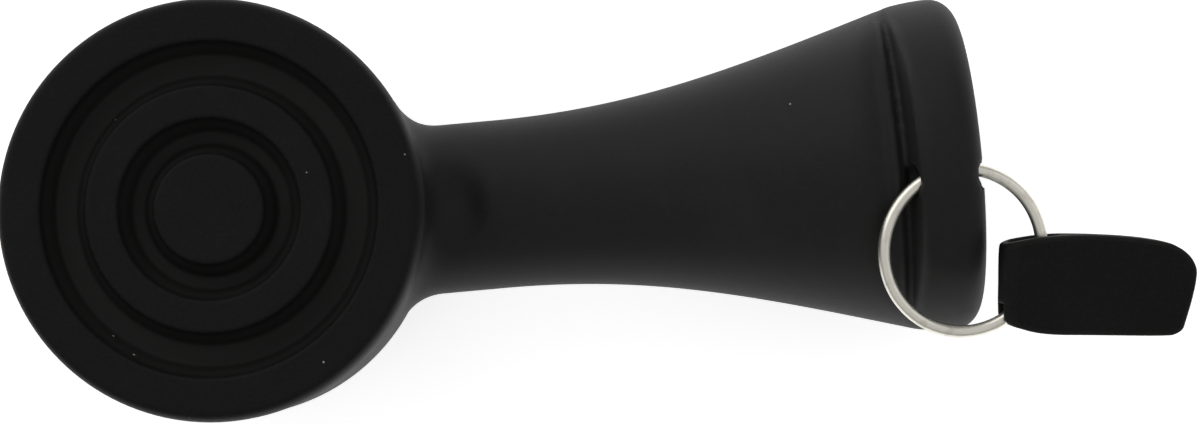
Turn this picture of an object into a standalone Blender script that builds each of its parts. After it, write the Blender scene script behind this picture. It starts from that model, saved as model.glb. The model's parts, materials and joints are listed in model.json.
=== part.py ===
"""Hand-size sink plunger with a drum head, a hollow flared grip, and a ring with a pull tab.

Frame: origin at the centre of the sealing face, +Z out of that face, +X along the grip.
Every length is in metres.
"""
import math

import bmesh
import bpy
from mathutils import Matrix, Vector

MM = 0.001
GAP = 0.3 * MM              # clearance between pieces that touch
EDGE = 0.4 * MM             # small chamfers

# sealing face
FACE_RADIUS = 36.75 * MM    # widest radius of the face seal
FACE_EDGE = 0.9 * MM        # how far the rounded edge leans in at the face
FACE_EDGE_DEPTH = 4.5 * MM
SEAL_THICKNESS = 8.6 * MM
GROOVE_DEPTH = 5.3 * MM
GROOVE_FLOOR = 3.0 * MM     # rubber left under the grooves
GROOVE_DRAFT = 2.1 * MM     # how far each groove wall leans in over its depth
CENTRE_LAND = 9.4 * MM      # radius of the middle land
INNER_GROOVE = 6.45 * MM    # width of the inner groove at the face
RING_LAND = 5.4 * MM
OUTER_GROOVE = 7.95 * MM
SPIGOT_WALL = 3.2 * MM
SPIGOT_DEPTH = 4.2 * MM

# head
HEAD_DRAFT = 0.35 * MM      # the head is this much slimmer than the face seal
HEAD_WALL = 5.2 * MM
HEAD_ROUND = 23.0 * MM      # radius where the side turns into the palm end
AXIS_DEPTH = 30.5 * MM      # the grip's axis lies this far under the face

# grip, along its own axis from the head's axis
GRIP_OFFSET = 2.2 * MM      # the head's centre stands off the grip's axis by this
NECK_RADIUS = 15.3 * MM
NECK_LENGTH = 13.6 * MM     # from the head's side to where the flare starts
ROOT_FLARE = 4.0 * MM       # how much the neck swells into the head
ROOT_LENGTH = 12.0 * MM
LIP_STATION = 129.4 * MM    # middle of the rolled lip
LIP_RADIUS = 25.6 * MM      # radius of the circle the lip is rolled around
LIP_ROLL = 4.5 * MM         # radius of the roll itself
LIP_BLEND = 7.4 * MM        # the flare runs into the lip over this length
LIP_SHOULDER = 0.8 * MM     # and stands this much under the lip's top where it starts
BORE_RADIUS = 9.3 * MM
BORE_PAST_NECK = 12.0 * MM  # the straight bore runs this far under the flare
DIMPLE_REACH = 6.1 * MM     # from the head's side to the thumb dimple's middle
DIMPLE_LENGTH = 6.5 * MM
DIMPLE_WIDTH = 11.0 * MM
DIMPLE_DEPTH = 1.3 * MM

# saddle behind the lip on the face side, where the ring goes through
SADDLE_OFFSET = 6.0 * MM    # the saddle is turned about an axis this far behind the grip's
SADDLE_REACH = 8.6 * MM     # from the lip's middle back to the saddle's deepest line
SADDLE_LENGTH = 11.0 * MM   # how far the saddle runs towards the head from there
SADDLE_CLIMB = 3.8 * MM     # and how far it takes to climb to the lip's crest
RING_SLACK = 1.65 * MM      # between the wire and its hole through the lip
RING_HOLE_SIDE = 3.55 * MM  # the hole stands this far to one side of the grip's axis

# ring and tab
RING_RADIUS = 14.2 * MM     # to the middle of the wire
WIRE_RADIUS = 1.1 * MM
RING_LEAN = 0.161           # the ring rises by this much per length towards the head
RING_DROP = 0.141           # and falls by this much per length away from the lip
RING_CROWN = 1.2 * MM       # the ring's arc stands off the hole's middle line by this
RING_BUTT = 0.5 * MM        # gap between the wire's two ends
TAB_LENGTH = 35.9 * MM
TAB_WIDTH = 17.7 * MM
TAB_STRAP = 1.6 * MM        # thickness of the folded strap
TAB_START = 6.4 * MM        # the fold's distance from the ring's centre
TAB_TOP = 2.95 * MM         # how far the tab reaches past the ring's centre line
TAB_FLAT = 18.5 * MM        # from the fold to where the two layers lie together
TAB_CLOSING = 12.0 * MM     # over this length they come together
TAB_NOTCH = 5.6 * MM        # height of the notch in the fold that lets the ring out
TAB_TILT = -6.4             # degrees the tab is turned on the ring, about the ring's normal

# inner pieces
PLATE_THICKNESS = 4.0 * MM
CORE_RADIUS = 9.0 * MM
CORE_FOOT = 12.8 * MM
CORE_FOOT_HEIGHT = 4.0 * MM
CORE_COLLAR = 3.0 * MM
SCREW_RADIUS = 2.4 * MM
SCREW_HEAD = 4.6 * MM
SCREW_HEAD_LAND = 0.3 * MM
SCREW_LENGTH = 24.0 * MM
NECK_CORE_WALL = 2.2 * MM

STEPS = 48                  # facets around a turned piece

# worked out from the sizes above
LIP_OUTER = LIP_RADIUS + LIP_ROLL
HEAD_RADIUS = FACE_RADIUS - HEAD_DRAFT
NECK_END = HEAD_RADIUS + NECK_LENGTH
BORE_END = NECK_END + BORE_PAST_NECK
DIMPLE_STATION = HEAD_RADIUS + DIMPLE_REACH
RING_HOLE = WIRE_RADIUS + RING_SLACK
SADDLE_FLOOR = LIP_RADIUS - WIRE_RADIUS - GAP
HEAD_TOP = -(SEAL_THICKNESS + GAP)
HEAD_BOTTOM = -(AXIS_DEPTH + LIP_OUTER)
CAVITY_RADIUS = HEAD_RADIUS - HEAD_WALL
CAVITY_FLOOR = HEAD_BOTTOM + HEAD_WALL
SPIGOT_RADIUS = CAVITY_RADIUS - GAP
PLATE_RADIUS = SPIGOT_RADIUS - SPIGOT_WALL - GAP
SEAL_BACK = -(GROOVE_DEPTH + GROOVE_FLOOR)
PLATE_TOP = SEAL_BACK - GAP
PLATE_BOTTOM = PLATE_TOP - PLATE_THICKNESS
GRIP_AXIS = Vector((0.0, -GRIP_OFFSET, -AXIS_DEPTH))
FLARE_END = LIP_STATION - LIP_BLEND
FLARE_RADIUS = LIP_OUTER - LIP_SHOULDER
HOLE_CENTRE = GRIP_AXIS + Vector((LIP_STATION, -RING_HOLE_SIDE, LIP_RADIUS))
TAB_HALF_THICKNESS = WIRE_RADIUS + GAP + TAB_STRAP


def clear_scene():
    for obj in list(bpy.data.objects):
        bpy.data.objects.remove(obj, do_unlink=True)


def new_collection(name):
    collection = bpy.data.collections.new(name)
    bpy.context.scene.collection.children.link(collection)
    return collection


def new_material(name, colour, roughness, metallic=0.0):
    material = bpy.data.materials.new(name)
    material.use_nodes = True
    shader = material.node_tree.nodes["Principled BSDF"]
    shader.inputs["Base Color"].default_value = (*colour, 1.0)
    shader.inputs["Roughness"].default_value = roughness
    shader.inputs["Metallic"].default_value = metallic
    return material


def add_object(name, data, collection, material=None):
    obj = bpy.data.objects.new(name, data)
    collection.objects.link(obj)
    if material is not None:
        data.materials.append(material)
    return obj


def hide_helper(obj):
    obj.hide_render = True
    obj.display_type = "WIRE"


def bezier(start, first, second, end, count):
    """Points of one cubic curve, without its start."""
    points = []
    for i in range(1, count + 1):
        t = i / count
        weights = ((1 - t) ** 3, 3 * t * (1 - t) ** 2, 3 * t * t * (1 - t), t ** 3)
        knots = (start, first, second, end)
        points.append(tuple(sum(w * k[axis] for w, k in zip(weights, knots)) for axis in (0, 1)))
    return points


def arc(centre, radius, from_degrees, to_degrees, count):
    """Points (radius, height) of an arc in a turning profile."""
    points = []
    for i in range(count + 1):
        angle = math.radians(from_degrees + (to_degrees - from_degrees) * i / count)
        points.append((centre[0] + radius * math.cos(angle), centre[1] + radius * math.sin(angle)))
    return points


def turned(name, profile, collection, material=None, closed=False, steps=STEPS):
    """A profile of (radius, height) points turned about local Z, outer side from top to bottom."""
    mesh = bpy.data.meshes.new(name)
    builder = bmesh.new()
    verts = [builder.verts.new((radius, 0.0, height)) for radius, height in profile]
    for first, second in zip(verts, verts[1:]):
        builder.edges.new((first, second))
    if closed:
        builder.edges.new((verts[-1], verts[0]))
    builder.to_mesh(mesh)
    builder.free()
    obj = add_object(name, mesh, collection, material)
    screw = obj.modifiers.new("turn", "SCREW")
    screw.axis = "Z"
    screw.steps = steps
    screw.render_steps = steps
    screw.use_merge_vertices = True
    screw.merge_threshold = 0.00001
    screw.use_smooth_shade = True
    return obj


def along_grip(obj, offset=(0.0, 0.0, 0.0)):
    """Lay a turned piece on the grip's axis, its local Z along +X."""
    obj.rotation_euler = (0.0, math.radians(90.0), 0.0)
    obj.location = GRIP_AXIS + Vector(offset)


def box(name, size, centre, collection):
    mesh = bpy.data.meshes.new(name)
    builder = bmesh.new()
    bmesh.ops.create_cube(builder, size=1.0)
    bmesh.ops.scale(builder, vec=size, verts=builder.verts)
    bmesh.ops.translate(builder, vec=centre, verts=builder.verts)
    builder.to_mesh(mesh)
    builder.free()
    return add_object(name, mesh, collection)


def boolean(obj, cutter, operation="DIFFERENCE"):
    hide_helper(cutter)
    modifier = obj.modifiers.new(cutter.name, "BOOLEAN")
    modifier.operation = operation
    modifier.object = cutter
    modifier.solver = "EXACT"


def flat_plate(name, outline, half_thickness, collection, material=None, smooth=True):
    """A closed outline in local XY, given thickness along Z, as a mesh."""
    curve = bpy.data.curves.new(name, "CURVE")
    curve.dimensions = "2D"
    curve.fill_mode = "BOTH"
    curve.extrude = half_thickness
    curve.resolution_u = 4
    spline = curve.splines.new("BEZIER" if smooth else "POLY")
    points = spline.bezier_points if smooth else spline.points
    points.add(len(outline) - 1)
    for point, (x, y) in zip(points, outline):
        point.co = (x, y, 0.0) if smooth else (x, y, 0.0, 1.0)
        if smooth:
            point.handle_left_type = "AUTO"
            point.handle_right_type = "AUTO"
    spline.use_cyclic_u = True
    guide = bpy.data.objects.new(name + "_curve", curve)
    collection.objects.link(guide)
    return meshed(guide, name, collection, material)


def meshed(guide, name, collection, material=None):
    """Turn a curve object into a welded mesh object in the same place."""
    bpy.context.view_layer.update()
    evaluated = guide.evaluated_get(bpy.context.evaluated_depsgraph_get())
    mesh = bpy.data.meshes.new_from_object(evaluated)
    builder = bmesh.new()
    builder.from_mesh(mesh)
    bmesh.ops.remove_doubles(builder, verts=builder.verts, dist=0.00001)
    bmesh.ops.recalc_face_normals(builder, faces=builder.faces)
    builder.to_mesh(mesh)
    builder.free()
    mesh.materials.clear()
    obj = add_object(name, mesh, collection, material)
    obj.matrix_world = guide.matrix_world.copy()
    bpy.data.objects.remove(guide, do_unlink=True)
    return obj


def face_profile():
    """Lands and grooves from the middle of the face outwards."""
    inner_start = CENTRE_LAND
    inner_end = inner_start + INNER_GROOVE
    outer_start = inner_end + RING_LAND
    outer_end = outer_start + OUTER_GROOVE
    profile = [(0.0, 0.0)]
    for start, end in ((inner_start, inner_end), (outer_start, outer_end)):
        profile.append((start, 0.0))
        profile.append((start + GROOVE_DRAFT, -GROOVE_DEPTH))
        profile.append((end - GROOVE_DRAFT, -GROOVE_DEPTH))
        profile.append((end, 0.0))
    return profile


def face_seal(collection, material):
    spigot_end = -(SEAL_THICKNESS + SPIGOT_DEPTH)
    profile = face_profile()
    chamfer = 0.6 * MM
    top = (FACE_RADIUS - 2.0 * FACE_EDGE, 0.0)
    shoulder = (FACE_RADIUS - 0.6 * FACE_EDGE, 0.0)
    widest = (FACE_RADIUS, -FACE_EDGE_DEPTH)
    profile.append(top)
    profile += bezier(top, shoulder, (FACE_RADIUS, -0.4 * FACE_EDGE_DEPTH), widest, 5)
    profile.append((FACE_RADIUS, -(SEAL_THICKNESS - chamfer)))
    profile.append((FACE_RADIUS - chamfer, -SEAL_THICKNESS))
    profile.append((SPIGOT_RADIUS, -SEAL_THICKNESS))
    profile.append((SPIGOT_RADIUS, spigot_end))
    profile.append((SPIGOT_RADIUS - SPIGOT_WALL, spigot_end))
    profile.append((SPIGOT_RADIUS - SPIGOT_WALL, SEAL_BACK))
    profile.append((0.0, SEAL_BACK))
    return turned("face_seal", profile, collection, material)


def head_outer(collection, material):
    corner = (HEAD_RADIUS - HEAD_ROUND, HEAD_BOTTOM + HEAD_ROUND)
    profile = [(0.0, HEAD_TOP), (HEAD_RADIUS - EDGE, HEAD_TOP), (HEAD_RADIUS, HEAD_TOP - EDGE)]
    profile += arc(corner, HEAD_ROUND, 0.0, -90.0, 8)
    profile.append((0.0, HEAD_BOTTOM))
    return turned("handle_body", profile, collection, material)


def head_cavity(cutters):
    inner_round = HEAD_ROUND - HEAD_WALL
    corner = (CAVITY_RADIUS - inner_round, CAVITY_FLOOR + inner_round)
    profile = [(0.0, HEAD_TOP + HEAD_WALL), (CAVITY_RADIUS, HEAD_TOP + HEAD_WALL)]
    profile += arc(corner, inner_round, 0.0, -90.0, 6)
    profile.append((0.0, CAVITY_FLOOR))
    return turned("head_cavity", profile, cutters)


def grip_outer(cutters):
    """Rolled lip, flare and neck, ending inside the head's hollow."""
    neck_start = HEAD_RADIUS + 0.4 * ROOT_LENGTH
    profile = [(0.0, LIP_STATION + LIP_ROLL), (LIP_RADIUS, LIP_STATION + LIP_ROLL)]
    profile += arc((LIP_RADIUS, LIP_STATION), LIP_ROLL, 90.0, 0.0, 6)[1:]
    lip_top = (LIP_OUTER, LIP_STATION)
    flare_end = (FLARE_RADIUS, FLARE_END)
    profile += bezier(lip_top, (LIP_OUTER, LIP_STATION - 0.5 * LIP_ROLL),
                      (FLARE_RADIUS + 0.45 * LIP_SHOULDER, FLARE_END + 0.16 * LIP_BLEND), flare_end, 3)
    reach = FLARE_END - NECK_END
    rise = FLARE_RADIUS - NECK_RADIUS
    profile += bezier(flare_end, (FLARE_RADIUS - 0.60 * rise, FLARE_END - 0.389 * reach),
                      (NECK_RADIUS + 0.014 * rise, NECK_END + 0.361 * reach), (NECK_RADIUS, NECK_END), 9)
    profile.append((NECK_RADIUS, neck_start))
    profile += bezier((NECK_RADIUS, neck_start), (NECK_RADIUS, neck_start - 0.5 * ROOT_LENGTH),
                      (NECK_RADIUS + 0.3 * ROOT_FLARE, neck_start - 0.8 * ROOT_LENGTH),
                      (NECK_RADIUS + ROOT_FLARE, neck_start - ROOT_LENGTH), 4)
    profile.append((0.0, neck_start - ROOT_LENGTH))
    obj = turned("grip_outer", profile, cutters)
    along_grip(obj)
    return obj


def grip_hollow(cutters):
    """The bore through the neck and the bell inside the flare."""
    mouth = LIP_RADIUS - LIP_ROLL
    past_lip = LIP_STATION + 2.0 * LIP_ROLL
    bell_end = (mouth, LIP_STATION - LIP_ROLL)
    reach = LIP_STATION - LIP_ROLL - BORE_END
    rise = mouth - BORE_RADIUS
    profile = [(0.0, past_lip), (mouth + 2.0 * LIP_ROLL, past_lip)]
    profile += reversed(arc((LIP_RADIUS, LIP_STATION), LIP_ROLL, 180.0, 90.0, 4))
    profile.append(bell_end)
    profile += bezier(bell_end, (mouth - 0.56 * rise, bell_end[1] - 0.43 * reach),
                      (BORE_RADIUS, BORE_END + 0.37 * reach), (BORE_RADIUS, BORE_END), 7)
    profile += [(BORE_RADIUS, 0.6 * CAVITY_RADIUS), (0.0, 0.6 * CAVITY_RADIUS)]
    obj = turned("grip_hollow", profile, cutters)
    along_grip(obj)
    return obj


def lip_saddle(cutters):
    """An off-centre turned groove, deep on the face side and gone at the grip's flanks.

    It climbs steeply to the lip, and slowly over a low ridge towards the head.
    """
    deepest = LIP_STATION - SADDLE_REACH
    floor = SADDLE_FLOOR + SADDLE_OFFSET
    rise = LIP_OUTER - SADDLE_FLOOR
    outside = LIP_OUTER + 2.0 * SADDLE_OFFSET + LIP_ROLL
    start = deepest - SADDLE_LENGTH
    crest = deepest + SADDLE_CLIMB
    shares = [(0.47, -1.0), (0.32, -0.55), (0.22, -0.33), (0.26, -0.16), (0.13, -0.08), (0.0, 0.0)]
    profile = [(outside, crest), (outside, start)]
    profile += [(floor + up * rise, deepest + along * SADDLE_LENGTH) for up, along in shares]
    profile += [(floor + up * rise, deepest + along * SADDLE_CLIMB)
                for up, along in ((0.35, 0.22), (0.75, 0.52), (1.03, 1.0))]
    obj = turned("lip_saddle", profile, cutters, closed=True, steps=64)
    along_grip(obj, (0.0, 0.0, -SADDLE_OFFSET))
    return obj


def ring_hole(cutters):
    """Straight hole through the lip for the ring."""
    start = LIP_STATION - SADDLE_REACH
    end = LIP_STATION + 2.0 * LIP_ROLL
    obj = turned("ring_hole", [(0.0, end), (RING_HOLE, end), (RING_HOLE, start), (0.0, start)],
                 cutters, steps=20)
    along_grip(obj, (0.0, -RING_HOLE_SIDE, LIP_RADIUS))
    return obj


def thumb_dimple(cutters):
    mesh = bpy.data.meshes.new("thumb_dimple")
    builder = bmesh.new()
    bmesh.ops.create_uvsphere(builder, u_segments=20, v_segments=12, radius=1.0)
    half = (0.625 * DIMPLE_LENGTH, 0.625 * DIMPLE_WIDTH, 2.5 * DIMPLE_DEPTH)
    bmesh.ops.scale(builder, vec=half, verts=builder.verts)
    builder.to_mesh(mesh)
    builder.free()
    obj = add_object("thumb_dimple", mesh, cutters)
    obj.location = GRIP_AXIS + Vector((DIMPLE_STATION, 0.0, NECK_RADIUS + 1.5 * DIMPLE_DEPTH))
    return obj


def handle_body(collection, cutters, material):
    body = head_outer(collection, material)
    boolean(body, grip_outer(cutters), "UNION")
    for cutter in (head_cavity, grip_hollow, lip_saddle, ring_hole, thumb_dimple):
        boolean(body, cutter(cutters))
    return body


def backing_plate(collection, material):
    """Stiff disc behind the seal, countersunk for the core screw."""
    clear = SCREW_RADIUS + GAP
    seat = SCREW_HEAD + GAP
    seat_end = PLATE_TOP - SCREW_HEAD_LAND - GAP
    cone_end = seat_end - (seat - clear)
    profile = [(seat, PLATE_TOP), (PLATE_RADIUS - EDGE, PLATE_TOP), (PLATE_RADIUS, PLATE_TOP - EDGE),
               (PLATE_RADIUS, PLATE_BOTTOM + EDGE), (PLATE_RADIUS - EDGE, PLATE_BOTTOM),
               (clear, PLATE_BOTTOM), (clear, cone_end), (seat, seat_end)]
    return turned("backing_plate", profile, collection, material, closed=True)


def push_core(collection, material):
    """Post that carries the palm's push from the dome to the backing plate."""
    top = PLATE_BOTTOM - GAP
    foot = CAVITY_FLOOR + GAP
    foot_top = foot + CORE_FOOT_HEIGHT
    collar = CORE_RADIUS + CORE_COLLAR
    thread = SCREW_RADIUS + GAP
    thread_end = PLATE_TOP - SCREW_LENGTH - CORE_COLLAR
    profile = [(0.0, thread_end), (thread, thread_end), (thread, top), (collar, top),
               (collar, top - CORE_COLLAR), (CORE_RADIUS, top - 2.0 * CORE_COLLAR),
               (CORE_RADIUS, foot_top + CORE_COLLAR), (CORE_FOOT, foot_top), (CORE_FOOT, foot), (0.0, foot)]
    return turned("push_core", profile, collection, material)


def core_screw(collection, material):
    """Countersunk screw, its head just under the plate's face."""
    top = PLATE_TOP - 0.5 * GAP
    tip = PLATE_TOP - SCREW_LENGTH
    cone = SCREW_HEAD - SCREW_RADIUS
    land_end = top - SCREW_HEAD_LAND
    profile = [(0.0, top), (SCREW_HEAD, top), (SCREW_HEAD, land_end), (SCREW_RADIUS, land_end - cone),
               (SCREW_RADIUS, tip + 2.0 * EDGE), (SCREW_RADIUS - 2.0 * EDGE, tip), (0.0, tip)]
    return turned("core_screw", profile, collection, material, steps=32)


def neck_core(collection, material):
    """Tube that keeps the soft neck from folding."""
    outer = BORE_RADIUS - GAP
    inner = outer - NECK_CORE_WALL
    start = CAVITY_RADIUS + 0.5 * HEAD_WALL
    end = BORE_END - 2.0 * EDGE
    profile = [(outer - EDGE, end), (outer, end - EDGE), (outer, start + EDGE),
               (outer - EDGE, start), (inner, start), (inner, end)]
    obj = turned("neck_core", profile, collection, material, closed=True, steps=40)
    along_grip(obj)
    return obj


def ring_frame():
    """Matrix of the ring: X away from the head, Y towards the lip, Z its normal, origin its centre."""
    normal = Vector((RING_LEAN, -RING_DROP, 1.0)).normalized()
    up = Vector((0.0, 1.0, RING_DROP)).normalized()
    right = up.cross(normal).normalized()
    crown = HOLE_CENTRE + Vector((0.0, RING_CROWN, 0.0))
    centre = crown - RING_RADIUS * up
    rotation = Matrix((right, up, normal)).transposed().to_4x4()
    return Matrix.Translation(centre) @ rotation


def hanging_ring(collection, material, swing_axis):
    curve = bpy.data.curves.new("hanging_ring", "CURVE")
    curve.dimensions = "3D"
    curve.bevel_depth = WIRE_RADIUS
    curve.bevel_resolution = 2
    curve.use_fill_caps = True
    count = 56
    half_gap = 0.5 * RING_BUTT / RING_RADIUS
    butt = math.radians(-25.0)
    spline = curve.splines.new("POLY")
    spline.points.add(count)
    for i, point in enumerate(spline.points):
        angle = butt + half_gap + (2.0 * math.pi - 2.0 * half_gap) * i / count
        point.co = (RING_RADIUS * math.cos(angle), RING_RADIUS * math.sin(angle), 0.0, 1.0)
    obj = add_object("hanging_ring", curve, collection, material)
    obj.parent = swing_axis
    obj.matrix_parent_inverse = swing_axis.matrix_world.inverted()
    obj.matrix_world = ring_frame()
    return obj


def tab_outline():
    """Plan of the tab in the ring's frame, from the fold's top corner towards the free end."""
    shares = [(0.0, 0.17), (0.045, 0.09), (0.23, 0.015), (0.42, 0.0), (0.82, 0.06), (0.92, 0.15),
              (0.97, 0.24), (1.0, 0.39), (0.98, 0.64), (0.94, 0.91), (0.89, 0.99), (0.70, 1.0),
              (0.28, 0.985), (0.11, 0.93), (0.02, 0.83), (0.005, 0.50)]
    return [(TAB_START + along * TAB_LENGTH, TAB_TOP - down * TAB_WIDTH) for along, down in shares]


def tab_side():
    """Side of the folded strap: round fold, ring pocket, then two layers together."""
    thick = TAB_HALF_THICKNESS
    thin = TAB_STRAP + 0.5 * GAP
    flat = TAB_START + TAB_FLAT
    right = TAB_START + TAB_LENGTH + 2.0 * GAP
    turn = [math.radians(90.0 - 15.0 * i) for i in range(7)]
    upper = [(TAB_START + thick - thick * math.sin(a), thick * math.cos(a)) for a in turn]
    upper += [(flat - TAB_CLOSING, thick), (flat - 0.5 * TAB_CLOSING, 0.5 * (thick + thin))]
    upper += [(flat, thin), (right, thin)]
    lower = [(x, -z) for x, z in reversed(upper[1:])]
    return upper + lower


def pull_tab(collection, cutters, material):
    """Folded strap with a pocket for the ring, which comes out through a notch in the fold."""
    tab = flat_plate("pull_tab", tab_outline(), 2.0 * TAB_HALF_THICKNESS, collection, material)
    side = flat_plate("tab_side", tab_side(), TAB_WIDTH, cutters, smooth=False)
    side.data.transform(Matrix.Rotation(math.radians(90.0), 4, "X"))
    middle = TAB_TOP - 0.5 * TAB_WIDTH
    side.data.transform(Matrix.Translation((0.0, middle, 0.0)))
    boolean(tab, side, "INTERSECT")
    start = TAB_START + TAB_STRAP
    end = RING_RADIUS + WIRE_RADIUS + 3.0 * GAP
    height = 2.0 * (WIRE_RADIUS + GAP)
    pocket = box("ring_pocket", (end - start, 2.0 * TAB_WIDTH, height), (0.5 * (start + end), middle, 0.0),
                 cutters)
    boolean(tab, pocket)
    notch_start = 0.5 * TAB_START
    notch_size = (end - notch_start, 2.0 * TAB_NOTCH, height)
    notch = box("fold_notch", notch_size, (0.5 * (end + notch_start), TAB_TOP - TAB_WIDTH, 0.0), cutters)
    boolean(tab, notch)
    frame = ring_frame() @ Matrix.Rotation(math.radians(TAB_TILT), 4, "Z")
    for obj in (tab, side, pocket, notch):
        obj.matrix_world = frame
    return tab


def main():
    clear_scene()
    plunger = new_collection("sink_plunger")
    cutters = new_collection("cutters")
    rubber = new_material("black_rubber", (0.012, 0.012, 0.012), 0.55)
    soft_rubber = new_material("face_rubber", (0.010, 0.010, 0.010), 0.62)
    plate_plastic = new_material("plate_plastic", (0.35, 0.35, 0.34), 0.5)
    core_plastic = new_material("core_plastic", (0.55, 0.54, 0.50), 0.5)
    screw_steel = new_material("screw_steel", (0.60, 0.60, 0.58), 0.35, 1.0)
    core_steel = new_material("core_steel", (0.45, 0.45, 0.44), 0.45, 1.0)
    ring_steel = new_material("ring_steel", (0.72, 0.69, 0.60), 0.38, 1.0)
    strap_rubber = new_material("tab_rubber", (0.014, 0.014, 0.013), 0.65)
    handle_body(plunger, cutters, rubber)
    face_seal(plunger, soft_rubber)
    backing_plate(plunger, plate_plastic)
    push_core(plunger, core_plastic)
    core_screw(plunger, screw_steel)
    neck_core(plunger, core_steel)
    swing_axis = bpy.data.objects.new("ring_swing_axis", None)
    swing_axis.location = HOLE_CENTRE
    plunger.objects.link(swing_axis)
    bpy.context.view_layer.update()
    hanging_ring(plunger, ring_steel, swing_axis)
    pull_tab(plunger, cutters, strap_rubber)


main()
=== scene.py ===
import json
import math
import bmesh
import bpy
import numpy as np
from mathutils import Matrix, Vector


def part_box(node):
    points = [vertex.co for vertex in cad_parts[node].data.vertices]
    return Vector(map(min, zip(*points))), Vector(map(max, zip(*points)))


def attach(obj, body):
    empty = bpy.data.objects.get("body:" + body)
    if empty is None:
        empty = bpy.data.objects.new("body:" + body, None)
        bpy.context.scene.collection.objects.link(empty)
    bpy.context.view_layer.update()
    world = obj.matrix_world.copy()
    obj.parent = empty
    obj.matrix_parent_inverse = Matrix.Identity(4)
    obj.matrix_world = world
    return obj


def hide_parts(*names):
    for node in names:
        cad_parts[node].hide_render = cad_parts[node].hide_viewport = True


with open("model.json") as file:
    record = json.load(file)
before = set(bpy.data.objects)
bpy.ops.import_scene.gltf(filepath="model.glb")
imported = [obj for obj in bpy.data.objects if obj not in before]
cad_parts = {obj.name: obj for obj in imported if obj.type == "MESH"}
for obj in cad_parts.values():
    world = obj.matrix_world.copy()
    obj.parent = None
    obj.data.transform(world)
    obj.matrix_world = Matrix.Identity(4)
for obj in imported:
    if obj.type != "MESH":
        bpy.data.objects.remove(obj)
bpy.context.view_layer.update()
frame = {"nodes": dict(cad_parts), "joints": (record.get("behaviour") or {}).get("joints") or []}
mm = 0.001
print("frame loaded:", ", ".join(sorted(frame["nodes"])))

# the places that everything is built around
bodyLow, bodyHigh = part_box("handle_body")
sealLow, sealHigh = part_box("face_seal")
tubeLow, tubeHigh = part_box("neck_core")
gripAxis = Vector((0.0, 0.5 * (tubeLow.y + tubeHigh.y), 0.5 * (tubeLow.z + tubeHigh.z)))
joints = {joint["name"]: joint for joint in frame["joints"]}
ringCentre = Vector(joints["tab_turn"]["pos_m"])
ringNormal = Vector(joints["tab_turn"]["axis"]).normalized()
ringUp = Vector((0.0, ringNormal.z, -ringNormal.y)).normalized()
ringRight = ringUp.cross(ringNormal)
ringHoleCentre = Vector(joints["ring_swing"]["pos_m"])


# a socket in a material's tree; arithmetic on it adds Math nodes
class Shade:
    def __init__(self, tree, socket=None):
        self.tree = tree
        self.socket = socket

    def add(self, kind, settings=None, inputs=None, output=0):
        node = self.tree.nodes.new(kind)
        for name, value in (settings or {}).items():
            setattr(node, name, value)
        for name, value in (inputs or {}).items():
            self.feed(node.inputs[name], value)
        return Shade(self.tree, node.outputs[output]) if len(node.outputs) else node

    def feed(self, socket, value):
        if isinstance(value, Shade):
            self.tree.links.new(value.socket, socket)
        elif isinstance(value, (tuple, list)) and len(value) == 3 and len(socket.default_value) == 4:
            socket.default_value = (*value, 1.0)
        else:
            socket.default_value = value

    def maths(self, operation, first, second=0.0):
        return self.add("ShaderNodeMath", {"operation": operation}, {0: first, 1: second})

    def __add__(self, other):
        return self.maths("ADD", self, other)

    def __radd__(self, other):
        return self.maths("ADD", other, self)

    def __sub__(self, other):
        return self.maths("SUBTRACT", self, other)

    def __rsub__(self, other):
        return self.maths("SUBTRACT", other, self)

    def __mul__(self, other):
        return self.maths("MULTIPLY", self, other)

    def __rmul__(self, other):
        return self.maths("MULTIPLY", other, self)

    def above(self, edge, width):  # 0 below edge, 1 past edge + width
        inputs = {"Value": self, "From Min": edge, "From Max": edge + width}
        return self.add("ShaderNodeMapRange", {"interpolation_type": "SMOOTHSTEP"}, inputs)

    def below(self, edge, width):  # 1 below edge - width, 0 past edge
        return 1.0 - self.above(edge - width, width)

    def mixColour(self, first, second):  # self is the share of the second colour
        inputs = {0: self, 6: first, 7: second}
        return self.add("ShaderNodeMix", {"data_type": "RGBA"}, inputs, output=2)


def newMaterial(name, finish):
    # a Principled material; finish(shade, place) gives what feeds its sockets
    material = bpy.data.materials.new(name)
    material.use_nodes = True
    tree = material.node_tree
    tree.nodes.clear()
    shade = Shade(tree)
    place = shade.add("ShaderNodeTexCoord", output="Object")
    surface = shade.add("ShaderNodeBsdfPrincipled", inputs=finish(shade, place))
    shade.add("ShaderNodeOutputMaterial", inputs={"Surface": surface})
    return material


def grain(shade, place, size, detail, rough):
    inputs = {"Vector": place, "Scale": 1.0 / size, "Detail": detail, "Roughness": rough}
    return shade.add("ShaderNodeTexNoise", inputs=inputs)


def specks(shade, place, spacing, size, share):
    # lone round flecks of the given size, in the given share of cells
    inputs = {"Vector": place, "Scale": 1.0 / spacing, "Randomness": 1.0}
    near = shade.add("ShaderNodeTexVoronoi", inputs=inputs, output="Distance")
    colour = shade.add("ShaderNodeTexVoronoi", inputs=inputs, output="Color")
    pick = shade.add("ShaderNodeSeparateColor", inputs={"Color": colour}, output="Red")
    return near.below(size / spacing, 0.4 * size / spacing) * pick.above(1.0 - share, 0.02)


def bump(shade, height, depth, strength):
    inputs = {"Height": height, "Distance": depth, "Strength": strength}
    return shade.add("ShaderNodeBump", inputs=inputs)


def noted(shade, name):
    # a number stored on the piece's points
    return shade.add("ShaderNodeAttribute", {"attribute_name": name}, output="Fac")


# outlines and the soft forms made from them

def arcPoints(centre, radius, start, end, count):
    angles = np.radians(np.linspace(start, end, count + 1))
    return [(centre[0] + radius * math.cos(a), centre[1] + radius * math.sin(a)) for a in angles]


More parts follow.
